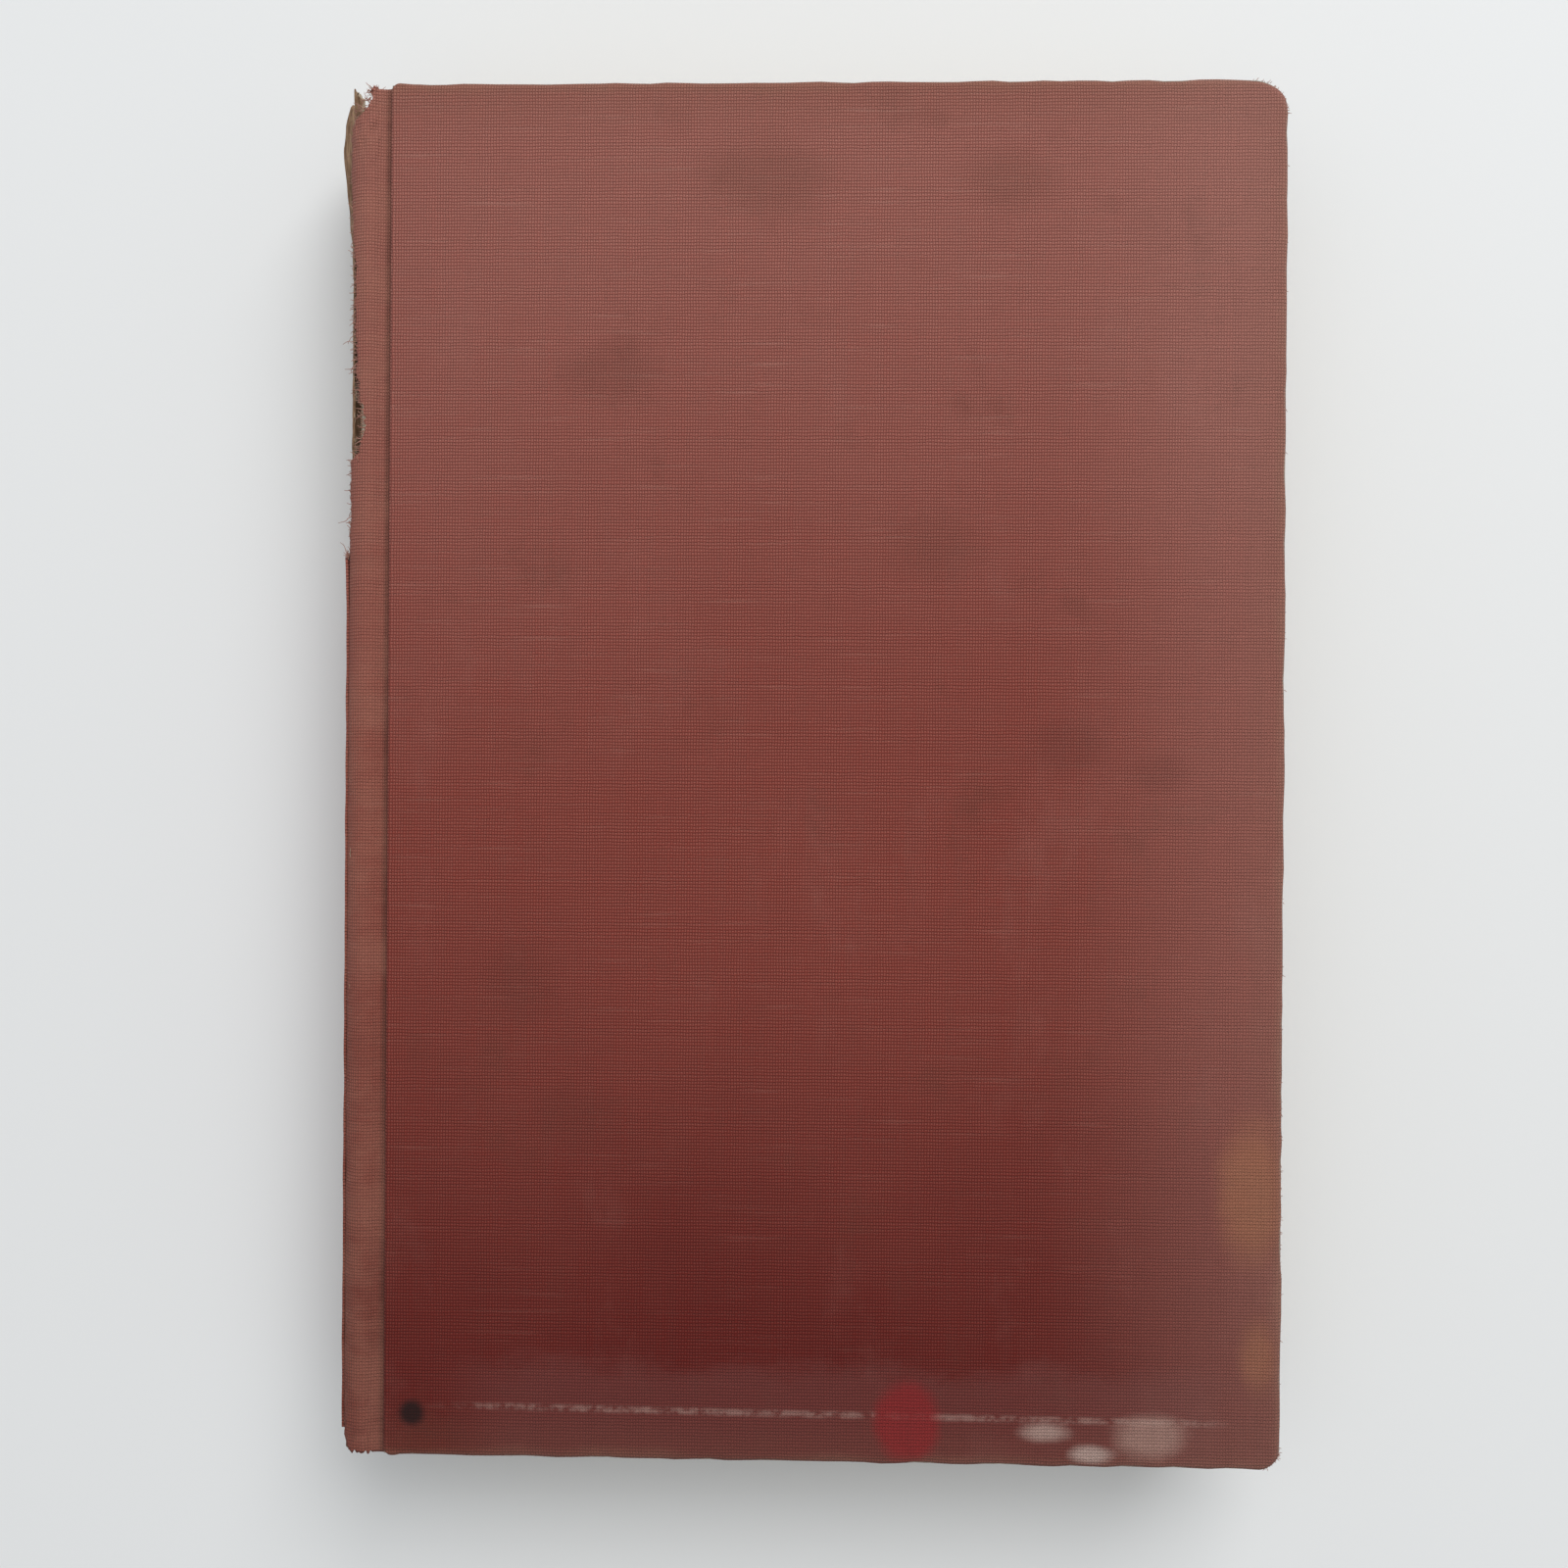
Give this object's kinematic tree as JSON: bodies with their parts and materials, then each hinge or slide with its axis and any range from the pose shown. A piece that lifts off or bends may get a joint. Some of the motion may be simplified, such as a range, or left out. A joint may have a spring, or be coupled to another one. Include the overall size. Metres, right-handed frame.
{
  "type": "hardback book",
  "caption": "Old cloth-bound hardback book, faded red, lying closed; rounded spine torn at its head, worn corners, and covers that open right back.",
  "frame": {"origin": "centre of the closed book's footprint, on the plane that the back cover lies on", "axes": "+X from the spine to the fore-edge, +Y from tail to head, +Z out of the front cover"},
  "size_m": [0.1348, 0.197, 0.031],
  "materials": {
    "cover_cloth": "faded red linen-weave book cloth, matt, rubbed",
    "millboard": "grey millboard, matt",
    "inlay_card": "brown spine card, matt and fibrous",
    "endpaper": "toned off-white paper, matt",
    "page_paper": "toned book paper, cut edges, matt",
    "lining_paper": "brown kraft paper, matt",
    "gauze": "open starched cotton gauze, matt"
  },
  "bodies": {
    "text_block": {"text_block": "page_paper", "front_flyleaf": "endpaper", "back_flyleaf": "endpaper", "spine_gauze": "gauze", "spine_lining": "lining_paper", "spine_inlay": "inlay_card", "spine_cloth": "cover_cloth"},
    "front_cover": {"front_board": "millboard", "front_cloth": "cover_cloth", "front_gauze_flap": "gauze", "front_pastedown": "endpaper"},
    "back_cover": {"back_board": "millboard", "back_cloth": "cover_cloth", "back_gauze_flap": "gauze", "back_pastedown": "endpaper"}
  },
  "joints": [
    {"name": "front_cover_hinge", "type": "hinge", "parent": "text_block", "child": "front_cover", "pos_m": [-0.06388, 0, 0.02755], "axis": [0, -1, 0], "range_deg": [0, 180]},
    {"name": "back_cover_hinge", "type": "hinge", "parent": "text_block", "child": "back_cover", "pos_m": [-0.06388, 0, 0.00345], "axis": [0, 1, 0], "range_deg": [0, 180]}
  ]
}
